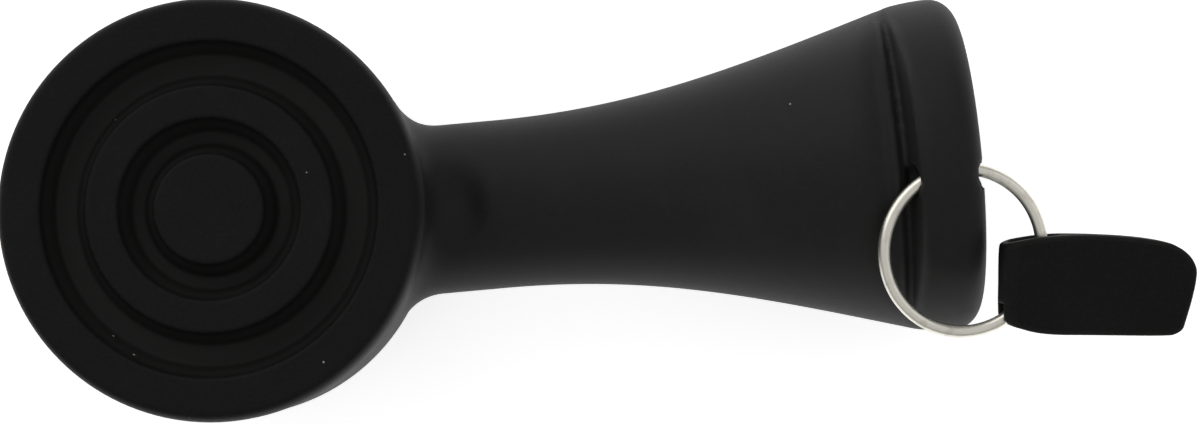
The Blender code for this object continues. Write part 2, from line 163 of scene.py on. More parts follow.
def sweepCurve(first, firstPull, secondPull, second, count):
    # a smooth curve between two points, drawn towards the two pulls
    ends = [np.array(p) for p in (first, firstPull, secondPull, second)]
    made = []
    for t in np.linspace(0.0, 1.0, count + 1):
        weights = ((1 - t) ** 3, 3 * t * (1 - t) ** 2, 3 * t * t * (1 - t), t ** 3)
        made.append(tuple(sum(w * p for w, p in zip(weights, ends))))
    return made


class Outline:
    # signed distance to a closed outline, negative inside, read from a fine table
    def __init__(self, points, step=0.25 * mm, margin=12.0 * mm):
        corners = np.array(points, float)
        self.step = step
        self.low = corners.min(0) - margin
        counts = np.ceil((corners.max(0) + margin - self.low) / step).astype(int) + 1
        x = self.low[0] + step * np.arange(counts[0])
        y = self.low[1] + step * np.arange(counts[1])
        px, py = np.meshgrid(x, y, indexing="ij")
        nearest = np.full(px.shape, 1.0)
        inside = np.zeros(px.shape, bool)
        for (ax, ay), (bx, by) in zip(corners, np.roll(corners, -1, axis=0)):
            ex, ey = bx - ax, by - ay
            along = ((px - ax) * ex + (py - ay) * ey) / max(ex * ex + ey * ey, 1e-16)
            along = np.clip(along, 0.0, 1.0)
            nearest = np.minimum(nearest, (px - ax - along * ex) ** 2 + (py - ay - along * ey) ** 2)
            if ay != by:
                inside ^= ((ay > py) != (by > py)) & (px < ax + (py - ay) * ex / ey)
        self.table = np.where(inside, -1.0, 1.0) * np.sqrt(nearest)

    def at(self, x, y):
        u = (x - self.low[0]) / self.step
        v = (y - self.low[1]) / self.step
        limit = np.array(self.table.shape) - 1.001
        past = self.step * np.hypot(u - np.clip(u, 0.0, limit[0]), v - np.clip(v, 0.0, limit[1]))
        u = np.clip(u, 0.0, limit[0])
        v = np.clip(v, 0.0, limit[1])
        i = u.astype(int)
        j = v.astype(int)
        u = u - i
        v = v - j
        lower = self.table[i, j] * (1 - u) + self.table[i + 1, j] * u
        upper = self.table[i, j + 1] * (1 - u) + self.table[i + 1, j + 1] * u
        return lower * (1 - v) + upper * v + past


def turnedForm(outline, origin, axis):
    # an outline of (radius, height) points turned about an axis
    def distance(points):
        away = points - np.array(origin)
        height = away @ np.array(axis)
        radius = np.linalg.norm(away - height[:, None] * np.array(axis), axis=1)
        return outline.at(radius, height)
    return distance


def joined(first, second, soft):
    # two forms melted together; soft is about how widely
    share = np.maximum(soft - np.abs(first - second), 0.0) / soft
    return np.minimum(first, second) - share * share * soft * 0.25


def cutFrom(body, cutter, soft):
    return -joined(-body, cutter, soft)


def common(first, second, soft):
    return -joined(-first, -second, soft)


def skinOf(distance, low, high, cell):
    # a closed mesh of even quads on the form's surface: a point in each cell that the
    # surface crosses, then slid along the form until it lies on it
    low = np.array(low) - 2.0 * cell
    counts = np.ceil((np.array(high) + 2.0 * cell - low) / cell).astype(int) + 1
    axes = [low[k] + cell * np.arange(counts[k]) for k in range(3)]
    values = np.empty(counts)
    for i, x in enumerate(axes[0]):
        y, z = np.meshgrid(axes[1], axes[2], indexing="ij")
        layer = np.stack([np.full(y.size, x), y.ravel(), z.ravel()], axis=1)
        values[i] = distance(layer).reshape(y.shape)
    inside = values < 0.0
    corner = [inside[a:counts[0] - 1 + a, b:counts[1] - 1 + b, c:counts[2] - 1 + c]
              for a in (0, 1) for b in (0, 1) for c in (0, 1)]
    filled = sum(part.astype(int) for part in corner)
    cells = (filled > 0) & (filled < 8)
    number = np.full(cells.shape, -1)
    number[cells] = np.arange(cells.sum())
    points = low + cell * (np.argwhere(cells) + 0.5)
    quads = []
    for k in range(3):
        near = np.take(inside, range(counts[k] - 1), axis=k)
        far = np.take(inside, range(1, counts[k]), axis=k)
        for crossing, turned in ((near & ~far, False), (far & ~near, True)):
            where = np.argwhere(crossing)
            p, q = [axis for axis in range(3) if axis != k]
            ring = []
            for a, b in ((-1, -1), (0, -1), (0, 0), (-1, 0)):
                place = where.copy()
                place[:, p] += a
                place[:, q] += b
                ring.append(number[tuple(place.T)])
            ring = np.stack(ring, axis=1)
            if turned != (k == 1):
                ring = ring[:, ::-1]
            quads.append(ring)
    quads = np.concatenate(quads)
    edges = np.concatenate([quads[:, [n, (n + 1) % 4]] for n in range(4)])
    edges = np.unique(np.sort(edges, axis=1), axis=0)
    points = settle(distance, points, cell)
    for relaxing in range(4):
        total = np.zeros_like(points)
        share = np.zeros(len(points))
        for a, b in ((0, 1), (1, 0)):
            np.add.at(total, edges[:, a], points[edges[:, b]])
            np.add.at(share, edges[:, a], 1.0)
        points = 0.5 * points + 0.5 * total / share[:, None]
        points = settle(distance, points, cell)
    return points, quads


def slopeOf(distance, points, reach=0.02 * mm):
    steps = np.eye(3) * reach
    return np.stack([distance(points + s) - distance(points - s) for s in steps], axis=1) / (2.0 * reach)


def settle(distance, points, cell, flattest=0.05):
    for attempt in range(3):
        away = distance(points)
        slope = slopeOf(distance, points)
        steep = np.maximum((slope * slope).sum(1), flattest)
        points = points - slope * np.clip(away / steep, -cell, cell)[:, None]
    return points


def curling(distance, points, reach):
    # how sharply the surface turns: above 0 on edges, below 0 in creases
    steps = np.eye(3) * reach
    spread = sum(distance(points + s) + distance(points - s) for s in steps)
    return (spread - 6.0 * distance(points)) / (reach * reach) * mm


def newPiece(name, points, faces, material):
    mesh = bpy.data.meshes.new(name)
    mesh.from_pydata([tuple(p) for p in points], [], [tuple(int(n) for n in f) for f in faces])
    mesh.materials.append(material)
    mesh.shade_smooth()
    obj = bpy.data.objects.new(name, mesh)
    bpy.context.scene.collection.objects.link(obj)
    return obj


def noteOn(obj, name, numbers):
    stored = obj.data.attributes.new(name, "FLOAT", "POINT")
    stored.data.foreach_set("value", np.array(numbers, np.float32))


# Geometry Nodes that turn an outline or run a wire along an arc

class Nodes:
    # a node tree in the making; the same one-call way of adding a node as in Shade
    def __init__(self, name, inputs):
        self.tree = bpy.data.node_groups.new(name, "GeometryNodeTree")
        for label, kind in inputs:
            self.tree.interface.new_socket(label, in_out="INPUT", socket_type="NodeSocket" + kind)
        self.tree.interface.new_socket("Piece", in_out="OUTPUT", socket_type="NodeSocketGeometry")
        self.given = self.tree.nodes.new("NodeGroupInput")

    def add(self, kind, settings=None, inputs=None, output=0):
        node = self.tree.nodes.new(kind)
        for name, value in (settings or {}).items():
            setattr(node, name, value)
        for name, value in (inputs or {}).items():
            if isinstance(value, str) and value in self.given.outputs:
                self.tree.links.new(self.given.outputs[value], node.inputs[name])
            elif isinstance(value, bpy.types.NodeSocket):
                self.tree.links.new(value, node.inputs[name])
            else:
                node.inputs[name].default_value = value
        return node.outputs[output]

    def finishWith(self, geometry):
        smooth = self.add("GeometryNodeSetShadeSmooth", inputs={"Geometry": geometry})
        whole = self.add("GeometryNodeRealizeInstances", inputs={"Geometry": smooth})
        coloured = self.add("GeometryNodeSetMaterial", inputs={"Geometry": whole, "Material": "Material"})
        result = self.tree.nodes.new("NodeGroupOutput")
        self.tree.links.new(coloured, result.inputs[0])
        return self.tree


closeBy = 0.001 * mm  # points closer than this are merged


def turningTree():
    inputs = [("Profile", "Geometry"), ("Facets", "Int"), ("Rail", "Float"), ("Spacing", "Float"),
              ("Material", "Material")]
    nodes = Nodes("turnedPiece", inputs)
    line = nodes.add("GeometryNodeMeshToCurve", inputs={"Mesh": "Profile"})
    rounding = nodes.add("GeometryNodeInputNamedAttribute", {"data_type": "FLOAT"}, {"Name": "round"})
    line = nodes.add("GeometryNodeFilletCurve", {"mode": "POLY"},
                     {"Curve": line, "Count": 5, "Radius": rounding, "Limit Radius": True})
    line = nodes.add("GeometryNodeResampleCurve", {"mode": "LENGTH"}, {"Curve": line, "Length": "Spacing"})
    rail = nodes.add("GeometryNodeCurvePrimitiveCircle", inputs={"Resolution": "Facets", "Radius": "Rail"})
    skin = nodes.add("GeometryNodeCurveToMesh", inputs={"Curve": rail, "Profile Curve": line})
    skin = nodes.add("GeometryNodeMergeByDistance", inputs={"Geometry": skin, "Distance": closeBy})
    return nodes.finishWith(skin)


def wireTree():
    inputs = [("Profile", "Geometry"), ("Turns", "Int"), ("Sides", "Int"), ("Radius", "Float"),
              ("Wire", "Float"), ("Start", "Float"), ("Sweep", "Float"), ("Material", "Material")]
    nodes = Nodes("roundWire", inputs)
    line = nodes.add("GeometryNodeCurveArc", inputs={"Resolution": "Turns", "Radius": "Radius",
                                                     "Start Angle": "Start", "Sweep Angle": "Sweep"})
    section = nodes.add("GeometryNodeCurvePrimitiveCircle",
                        inputs={"Resolution": "Sides", "Radius": "Wire"})
    skin = nodes.add("GeometryNodeCurveToMesh", inputs={"Curve": line, "Profile Curve": section,
                                                        "Fill Caps": True})
    skin = nodes.add("GeometryNodeMergeByDistance", inputs={"Geometry": skin, "Distance": closeBy})
    return nodes.finishWith(skin)


def grown(name, tree, values, profile=None, place=None):
    # runs a tree on an object and keeps the result as a plain mesh, put in its place
    points, edges, rounds = profile or ([(0.0, 0.0, 0.0)], [], [0.0])
    mesh = bpy.data.meshes.new(name)
    mesh.from_pydata(points, edges, [])
    mesh.attributes.new("round", "FLOAT", "POINT").data.foreach_set("value", rounds)
    obj = bpy.data.objects.new(name, mesh)
    bpy.context.scene.collection.objects.link(obj)
    modifier = obj.modifiers.new(tree.name, "NODES")
    modifier.node_group = tree
    sockets = {item.name: item.identifier for item in tree.interface.items_tree
               if item.item_type == "SOCKET" and item.in_out == "INPUT"}
    for label, value in values.items():
        modifier[sockets[label]] = value
    made = bpy.data.meshes.new_from_object(obj.evaluated_get(bpy.context.evaluated_depsgraph_get()))
    obj.modifiers.remove(modifier)
    tidy = bmesh.new()
    tidy.from_mesh(made)
    bmesh.ops.recalc_face_normals(tidy, faces=tidy.faces)
    tidy.to_mesh(made)
    tidy.free()
    made.transform(place or Matrix.Identity(4))
    obj.data = made
    bpy.data.meshes.remove(mesh)
    made.name = name
    return obj


turning = turningTree()
wiring = wireTree()


def turned(name, corners, material, closed=False, facets=128, spacing=0.3 * mm, place=None):
    # corners are (radius, height, rounding of that corner)
    rail = 10.0 * mm  # of the circle that carries the outline, taken off its radii again
    points = [(radius - rail, -height, 0.0) for radius, height, soft in corners]
    edges = [(n, n + 1) for n in range(len(points) - 1)]
    if closed:
        edges.append((len(points) - 1, 0))
    values = {"Facets": facets, "Rail": rail, "Spacing": spacing, "Material": material}
    return grown(name, turning, values, (points, edges, [soft for radius, height, soft in corners]), place)


alongGrip = Matrix.Translation(gripAxis) @ Matrix.Rotation(math.radians(90.0), 4, "Y")
inRing = Matrix.Translation(ringCentre) @ Matrix((ringRight, ringUp, ringNormal)).transposed().to_4x4()


# the hanging ring, a round wire whose ends meet inside the tab
ring = {
    "radius": 14.2 * mm,         # to the middle of the wire
    "wire": 1.1 * mm,            # the wire's own radius
    "gap": 0.5 * mm,
    "butt": -25.0,               # degrees round the ring to where the ends meet
    "turns": 160,
    "sides": 20,
}

# the head and grip, one soft moulding
handle = {
    "headRound": 23.0 * mm,      # where the head's side turns into its palm end
    "wall": 5.2 * mm,            # of the head
    "neck": 15.3 * mm,           # radius of the slim part
    "neckLength": 13.6 * mm,     # from the head's side to the start of the flare
    "neckPull": (0.014, 0.361),  # shares of the flare's rise and reach that draw its slim end
    "flarePull": (0.60, 0.389),  # and its wide end
    "rootSoft": 5.0 * mm,        # how widely the neck melts into the head
    "lipRoll": 4.5 * mm,         # radius of the rolled lip
    "lipBlend": 7.4 * mm,
    "lipShoulder": 0.8 * mm,
    "bore": 9.3 * mm,
    "borePastNeck": 12.0 * mm,
    "bellPull": (0.56, 0.43),    # the same shares for the bell inside, at its mouth
    "borePull": 0.37,            # and at the bore, along it
    "bellSoft": 0.3 * mm,
    "hollowSoft": 0.4 * mm,
    "saddleOffset": 6.0 * mm,    # the saddle turns about an axis this far behind the grip's
    "saddleReach": 8.6 * mm,
    "saddleLength": 11.0 * mm,
    "saddleClimb": 3.8 * mm,     # from its deepest line up to the lip's crest
    "saddleDepth": 5.9 * mm,
    "saddleSoft": 0.9 * mm,
    # shares of the depth, and of the length or the climb, down to the deepest line and up the lip
    "saddleFall": ((0.47, 1.0), (0.32, 0.55), (0.22, 0.33), (0.26, 0.16), (0.13, 0.08), (0.0, 0.0)),
    "saddleRise": ((0.35, 0.22), (0.75, 0.52), (1.03, 1.0)),
    "holeSlack": 0.12 * mm,      # left around the wire wherever the ring swings
    "holeSoft": 0.25 * mm,
    "dimpleReach": 6.1 * mm,
    "dimpleHalf": (3.6 * mm, 6.2 * mm, 3.0 * mm),
    "dimpleLift": 0.35,          # share of its half depth that its centre stands above the neck
    "dimpleSoft": 3.0 * mm,
    "cell": 0.82 * mm,           # spacing of the skin's points
    "turnReach": 0.8 * mm,       # how far apart its edges and creases are felt
}


def handleForm():
    h = handle
    headLine = ((0.0, 0.0, 0.0), (0.0, 0.0, 1.0))
    gripLine = (gripAxis, (1.0, 0.0, 0.0))
    headRadius = -bodyLow.x
    headTop = max(v.co.z for v in frame["nodes"]["handle_body"].data.vertices if v.co.x < 0.0)
    deepIn = -30.0 * mm  # outlines run past their axis, so that nothing shows on it
    lipOuter = 0.5 * (bodyHigh.z - bodyLow.z)
    lipRadius = lipOuter - h["lipRoll"]
    lipStation = bodyHigh.x - h["lipRoll"]
    neckEnd = headRadius + h["neckLength"]
    flareEnd = lipStation - h["lipBlend"]
    flareRadius = lipOuter - h["lipShoulder"]

    corner = (headRadius - h["headRound"], bodyLow.z + h["headRound"])
    head = [(deepIn, headTop), (headRadius, headTop)] + arcPoints(corner, h["headRound"], 0.0, -90.0, 24)
    head = Outline(head + [(deepIn, bodyLow.z)])

    reach = flareEnd - neckEnd
    rise = flareRadius - h["neck"]
    grip = [(deepIn, bodyHigh.x), (lipRadius, bodyHigh.x)]
    grip += arcPoints((lipRadius, lipStation), h["lipRoll"], 90.0, 0.0, 16)[1:]
    grip += sweepCurve((lipOuter, lipStation), (lipOuter, lipStation - 0.5 * h["lipRoll"]),
                       (flareRadius + 0.45 * h["lipShoulder"], flareEnd + 0.16 * h["lipBlend"]),
                       (flareRadius, flareEnd), 8)[1:]
    flarePull = (flareRadius - h["flarePull"][0] * rise, flareEnd - h["flarePull"][1] * reach)
    neckPull = (h["neck"] + h["neckPull"][0] * rise, neckEnd + h["neckPull"][1] * reach)
    grip += sweepCurve((flareRadius, flareEnd), flarePull, neckPull, (h["neck"], neckEnd), 40)[1:]
    grip = Outline(grip + [(h["neck"], corner[0]), (deepIn, corner[0])])

    mouth = lipRadius - h["lipRoll"]
    bellEnd = lipStation - h["lipRoll"]
    boreEnd = neckEnd + h["borePastNeck"]
    narrowing = mouth - h["bore"]
    depth = bellEnd - boreEnd
    bell = [(deepIn, bodyHigh.x + h["lipRoll"]), (lipOuter, bodyHigh.x + h["lipRoll"])]
    bell += arcPoints((lipRadius, lipStation), h["lipRoll"], 90.0, 180.0, 12) + [(mouth, bellEnd)]
    bellPull = (mouth - h["bellPull"][0] * narrowing, bellEnd - h["bellPull"][1] * depth)
    borePull = (h["bore"], boreEnd + h["borePull"] * depth)
    bell += sweepCurve((mouth, bellEnd), bellPull, borePull, (h["bore"], boreEnd), 30)[1:]
    bell = Outline(bell + [(h["bore"], corner[0]), (deepIn, corner[0])])

    inner = h["headRound"] - h["wall"]
    hollow = [(deepIn, headTop + h["wall"]), (headRadius - h["wall"], headTop + h["wall"])]
    hollow += arcPoints(corner, inner, 0.0, -90.0, 16)
    hollow = Outline(hollow + [(deepIn, bodyLow.z + h["wall"])])

    floor = lipOuter - h["saddleDepth"] + h["saddleOffset"]
    deepest = lipStation - h["saddleReach"]
    outside = lipOuter + 2.0 * h["saddleOffset"] + h["lipRoll"]
    saddle = [(outside, deepest + h["saddleClimb"]), (outside, deepest - h["saddleLength"])]
    saddle += [(floor + up * h["saddleDepth"], deepest - back * h["saddleLength"])
               for up, back in h["saddleFall"]]
    saddle += [(floor + up * h["saddleDepth"], deepest + along * h["saddleClimb"])
               for up, along in h["saddleRise"]]
    saddle = Outline(saddle)
    behindAxis = gripAxis - Vector((0.0, 0.0, h["saddleOffset"]))

    # the hole is as wide at each place as the ring's wire needs when it swings
    hole = [(deepIn, deepest)]
    for along in np.linspace(deepest, bodyHigh.x + h["lipRoll"], 30):
        right = (along - ringCentre.x) / ringRight.x
        wire = ringCentre + ringRight * right + ringUp * math.sqrt(ring["radius"] ** 2 - right ** 2)
        away = math.hypot(wire.y - ringHoleCentre.y, wire.z - ringHoleCentre.z)
        hole.append((away + ring["wire"] + h["holeSlack"], along))
    hole = Outline(hole + [(deepIn, bodyHigh.x + h["lipRoll"])])
    holeAxis = Vector((0.0, ringHoleCentre.y, ringHoleCentre.z))

    dimpleHalf = np.array(h["dimpleHalf"])
    dimpleHeight = h["neck"] + h["dimpleLift"] * dimpleHalf[2]
    dimpleCentre = np.array(gripAxis + Vector((headRadius + h["dimpleReach"], 0.0, dimpleHeight)))

    parts = (turnedForm(head, *headLine), turnedForm(grip, *gripLine),
             turnedForm(hollow, *headLine), turnedForm(bell, *gripLine),
             turnedForm(saddle, behindAxis, gripLine[1]), turnedForm(hole, holeAxis, gripLine[1]))

    def distance(points):
        headPart, gripPart, hollowPart, bellPart, saddlePart, holePart = [part(points) for part in parts]
        whole = joined(headPart, gripPart, h["rootSoft"])
        dimple = (np.linalg.norm((points - dimpleCentre) / dimpleHalf, axis=1) - 1.0) * dimpleHalf.min()
        whole = cutFrom(whole, dimple, h["dimpleSoft"])
        whole = cutFrom(whole, saddlePart, h["saddleSoft"])
        whole = cutFrom(whole, bellPart, h["bellSoft"])
        whole = cutFrom(whole, hollowPart, h["hollowSoft"])
        return cutFrom(whole, holePart, h["holeSoft"])
    return distance


def rubberHandle(material):
    form = handleForm()
    points, faces = skinOf(form, bodyLow, bodyHigh, handle["cell"])
    obj = newPiece("rubberHandle", points, faces, material)
    noteOn(obj, "turn", curling(form, points, handle["turnReach"]))
    print("rubber handle:", len(faces), "faces")
    return obj


# the sealing face: two grooves between three lands, all on one axis
seal = {
    "grooves": ((9.4 * mm, 6.45 * mm), (21.25 * mm, 7.95 * mm)),  # start radius and width at the face
    "grooveDepth": 5.3 * mm,
    "grooveDraft": 2.1 * mm,
    "landSoft": 0.7 * mm,
    "footSoft": 0.9 * mm,
    "thickness": 8.6 * mm,
    "edge": 0.9 * mm,            # how far the rim falls away outwards
    "edgeDepth": 4.5 * mm,
    "edgePull": (0.6, 0.4),      # shares of the two that draw the rim's curve
    "spigot": 30.9 * mm,
    "spigotWall": 3.2 * mm,
    "backSkin": 3.0 * mm,        # left behind the grooves
    "stepSoft": (0.6 * mm, 0.4 * mm),
    "backSoft": 0.5 * mm,
}


def faceSeal(material):
    g = seal
    radius = sealHigh.x
    top = sealHigh.z
    corners = [(0.0, top, 0.0)]
    for start, width in g["grooves"]:
        corners.append((start, top, g["landSoft"]))
        corners.append((start + g["grooveDraft"], top - g["grooveDepth"], g["footSoft"]))
        corners.append((start + width - g["grooveDraft"], top - g["grooveDepth"], g["footSoft"]))
        corners.append((start + width, top, g["landSoft"]))
    flat = (radius - 2.0 * g["edge"], top)
    widest = (radius, top - g["edgeDepth"])
    flatPull = (radius - g["edgePull"][0] * g["edge"], top)
    widePull = (radius, top - g["edgePull"][1] * g["edgeDepth"])
    corners += [(x, y, 0.0) for x, y in sweepCurve(flat, flatPull, widePull, widest, 14)]
    step = top - g["thickness"]
    back = top - g["grooveDepth"] - g["backSkin"]
    spigotInner = g["spigot"] - g["spigotWall"]
    corners += [(radius, step, g["stepSoft"][0]), (g["spigot"], step, g["stepSoft"][1]),
                (g["spigot"], sealLow.z, g["backSoft"]), (spigotInner, sealLow.z, g["backSoft"]),
                (spigotInner, back, g["backSoft"]), (0.0, back, 0.0)]
    obj = turned("faceSeal", corners, material, facets=144)
    print("face seal:", len(obj.data.polygons), "faces")
    return obj


def hangingRing(material):
    r = ring
    halfGap = 0.5 * r["gap"] / r["radius"]
    values = {"Turns": r["turns"], "Sides": r["sides"], "Radius": r["radius"], "Wire": r["wire"],
              "Start": math.radians(r["butt"]) + halfGap, "Sweep": 2.0 * math.pi - 2.0 * halfGap,
              "Material": material}
    obj = grown("hangingRing", wiring, values, place=inRing)
    print("hanging ring:", len(obj.data.polygons), "faces")
    return obj


# the pull tab: a rubber strap folded over the ring, its two layers lying together at the free end
tab = {
    "length": 36.0 * mm,
    "width": 17.8 * mm,
    "strap": 1.6 * mm,           # thickness of one layer
    "layerGap": 0.3 * mm,        # between the layers, filled by what they are joined with
    "tilt": -6.4,                # degrees it is turned on the ring
    "start": 6.4 * mm,           # the fold's distance from the ring's centre
    "top": 3.0 * mm,             # its upper edge above the ring's centre
    "flat": 18.5 * mm,           # from the fold to where the layers lie together
    "closing": 12.0 * mm,        # the length over which they come together before that
    "notch": 5.6 * mm,
    "notchSoft": 0.4 * mm,
    "clear": 0.3 * mm,           # around the wire
    "pocketPast": 0.9 * mm,      # the pocket goes on past the wire
    "pocketSoft": 0.3 * mm,
    "edgeSoft": 0.8 * mm,
    "slit": 0.28 * mm,           # half the line that shows between the layers, at the edge
    "slitDepth": 0.55 * mm,
    "slitLip": 0.1 * mm,         # the line opens this far outside the edge
    "slitSoft": 0.15 * mm,
    "cell": 0.32 * mm,
    "turnReach": 0.5 * mm,
    # shares of the length and the width, round the edge from the fold's upper corner
    "shape": ((0.0, 0.16), (0.045, 0.08), (0.23, 0.015), (0.42, 0.0), (0.66, 0.02), (0.83, 0.065),
              (0.91, 0.125), (0.965, 0.21), (0.995, 0.31), (1.0, 0.41), (0.985, 0.60), (0.95, 0.87),
              (0.935, 0.94), (0.90, 0.985), (0.85, 1.0), (0.65, 1.0), (0.28, 0.985), (0.11, 0.93),
              (0.02, 0.83), (0.005, 0.50)),
}


def throughPoints(points, steps):
    # a smooth closed curve through the points
    made = []
    count = len(points)
    for n in range(count):
        a, b, c, d = [np.array(points[(n + k) % count]) for k in (-1, 0, 1, 2)]
        for step in range(steps):
            t = step / steps
            made.append(tuple(0.5 * (2.0 * b + (c - a) * t + (2.0 * a - 5.0 * b + 4.0 * c - d) * t * t
                                     + (3.0 * b - a - 3.0 * c + d) * t ** 3)))
    return made


def pullTab(material):
    t = tab
    plan = [(t["start"] + x * t["length"], t["top"] - y * t["width"]) for x, y in t["shape"]]
    fine = (0.15 * mm, 5.0 * mm)  # step and margin of the outlines' tables
    plan = Outline(throughPoints(plan, 6), *fine)
    pocketHalf = ring["wire"] + t["clear"]
    thick = pocketHalf + t["strap"]
    thin = t["strap"] + 0.5 * t["layerGap"]
    flat = t["start"] + t["flat"]
    end = t["start"] + t["length"] + thick
    upper = arcPoints((t["start"] + thick, 0.0), thick, 180.0, 90.0, 12)
    upper += sweepCurve((flat - t["closing"], thick), (flat - 0.5 * t["closing"], thick),
                        (flat - 0.5 * t["closing"], thin), (flat, thin), 10) + [(end, thin)]
    side = Outline(upper + [(x, -y) for x, y in reversed(upper)][:-1], *fine)
    pocketStart = t["start"] + t["strap"]
    pocketEnd = ring["radius"] + ring["wire"] + t["pocketPast"]
    pocket = arcPoints((pocketStart + pocketHalf, 0.0), pocketHalf, 90.0, 270.0, 10)
    pocket += [(pocketEnd, -pocketHalf), (pocketEnd + pocketHalf, 0.0), (pocketEnd, pocketHalf)]
    pocket = Outline(pocket, *fine)
    notchEnd = t["top"] - t["width"] + t["notch"]

    inTab = inRing @ Matrix.Rotation(math.radians(t["tilt"]), 4, "Z")
    axes = np.array(inTab.to_3x3())

    def distance(points):
        x, y, z = ((points - np.array(ringCentre)) @ axes).T
        edge = plan.at(x, y)
        strap = common(edge, side.at(x, z), t["edgeSoft"])
        strap = cutFrom(strap, pocket.at(x, z), t["pocketSoft"])
        notch = np.maximum(np.maximum(np.abs(z) - pocketHalf, x - pocketEnd), y - notchEnd)
        strap = cutFrom(strap, notch, t["notchSoft"])
        slitHalf = t["slit"] * (1.0 + (edge + t["slitLip"]) / t["slitDepth"])
        slit = np.maximum(np.abs(z) - slitHalf, pocketEnd - x)
        return cutFrom(strap, slit, t["slitSoft"])

    corners = [inTab @ Vector((x, y, z)) for x in (t["start"], end)
               for y in (t["top"], t["top"] - t["width"]) for z in (-thick, thick)]
    low = [min(c[k] for c in corners) for k in range(3)]
    high = [max(c[k] for c in corners) for k in range(3)]
    points, faces = skinOf(distance, low, high, t["cell"])
    obj = newPiece("pullTab", points, faces, material)
    noteOn(obj, "turn", curling(distance, points, t["turnReach"]))
    print("pull tab:", len(faces), "faces")
    return obj


# finishes

# black moulded rubber; tone is its plain colour, worn that of its rubbed edges, fleck the size of its
# lint and lint the share of places that hold some
rubbers = {
    "handleRubber": {"tone": (0.0080, 0.0083, 0.0079), "worn": (0.026, 0.026, 0.025), "dullness": 0.56,
                     "gloss": 0.18, "mottle": 0.6, "fleck": 0.22 * mm, "lint": 0.05},
    # the seal's last entry is the height below which its colour is painted paler: painted light that lifts
    # the grooves' shade
    "sealRubber": {"tone": (0.0036, 0.0040, 0.0035), "worn": (0.020, 0.020, 0.019), "dullness": 0.60,
                   "gloss": 0.12, "mottle": 1.0, "fleck": 0.26 * mm, "lint": 0.6, "paintedLightBelow": -0.4 * mm},
    "strapRubber": {"tone": (0.0030, 0.0034, 0.0029), "worn": (0.018, 0.018, 0.016), "dullness": 0.62,
                    "gloss": 0.12, "mottle": 1.1, "fleck": 0.20 * mm, "lint": 0.1},
}

lintColour = (0.32, 0.31, 0.29)


def mouldedRubber(name):
    # fine pebbled skin, hazy bloom, mottling, lighter rubbed edges, dusty creases and lint; on the seal
    # also painted light, a paler colour down in the grooves that lifts their shade
    r = rubbers[name]

    def finish(shade, place):
        skin = grain(shade, place, 0.55 * mm, 3.0, 0.6)
        pores = grain(shade, place, 0.16 * mm, 1.0, 0.5)
        haze = grain(shade, place, 14.0 * mm, 4.0, 0.6)
        smear = grain(shade, place, 5.0 * mm, 3.0, 0.65)
        turn = noted(shade, "turn")
        rubbed = turn.above(0.15, 0.6) * (0.35 + 0.65 * smear.above(0.35, 0.3))
        creased = 1.0 - turn.above(-0.5, 0.45)
        bloom = haze.above(0.45, 0.35) * 0.6 + smear.above(0.55, 0.25) * 0.4
        mottle = skin.above(0.42, 0.22) * 0.6 + pores.above(0.45, 0.2) * 0.4
        lint = specks(shade, place, 6.0 * mm, r["fleck"], r["lint"])
        hazy = tuple(2.0 * part + 0.004 for part in r["tone"])
        colour = (bloom * 0.5 + creased * 0.3 + mottle * (0.5 * r["mottle"])).mixColour(r["tone"], hazy)
        colour = (rubbed * 0.35).mixColour(colour, r["worn"])
        if "paintedLightBelow" in r:  # painted light: paler down in the grooves, to lift their shade
            level = shade.add("ShaderNodeSeparateXYZ", inputs={"Vector": place}, output="Z")
            colour = (level.below(r["paintedLightBelow"], 2.0 * mm) * 0.5).mixColour(colour, r["worn"])
        colour = lint.mixColour(colour, lintColour)
        rough = r["dullness"] + bloom * 0.10 - rubbed * 0.08 + skin.above(0.4, 0.3) * 0.05 + lint * 0.2
        height = skin * 0.7 + pores * 0.3 + lint * 1.5
        return {"Base Color": colour, "Roughness": rough, "Specular IOR Level": r["gloss"],
                "Normal": bump(shade, height, 0.07 * mm, 0.7)}
    return newMaterial(name, finish)


def satinWire(name):
    # plated round wire, drawn lines along it, dulled where it has rubbed the rubber
    def finish(shade, place):
        away = shade.add("ShaderNodeVectorMath", {"operation": "SUBTRACT"}, {0: place, 1: ringCentre})
        across, up, out = [shade.add("ShaderNodeVectorMath", {"operation": "DOT_PRODUCT"},
                                     {0: away, 1: axis}, output="Value")
                           for axis in (ringRight, ringUp, ringNormal)]
        along = shade.maths("ARCTAN2", 0.0 - up, 0.0 - across) * ring["radius"]  # its seam is in the tab
        outward = shade.maths("SQRT", across * across + up * up)
        drawn = shade.add("ShaderNodeCombineXYZ", inputs={"X": along * 0.06, "Y": outward, "Z": out})
        lines = grain(shade, drawn, 0.2 * mm, 2.0, 0.6)
        stain = grain(shade, place, 3.0 * mm, 3.0, 0.6)
        dulled = stain.above(0.5, 0.25)
        colour = (dulled * 0.6).mixColour((0.80, 0.77, 0.69), (0.55, 0.51, 0.43))
        colour = (lines.above(0.55, 0.2) * 0.25).mixColour(colour, (0.40, 0.38, 0.34))
        rough = 0.30 + dulled * 0.12 + lines * 0.08
        return {"Base Color": colour, "Metallic": 1.0, "Roughness": rough,
                "Normal": bump(shade, lines, 0.012 * mm, 0.5)}
    return newMaterial(name, finish)


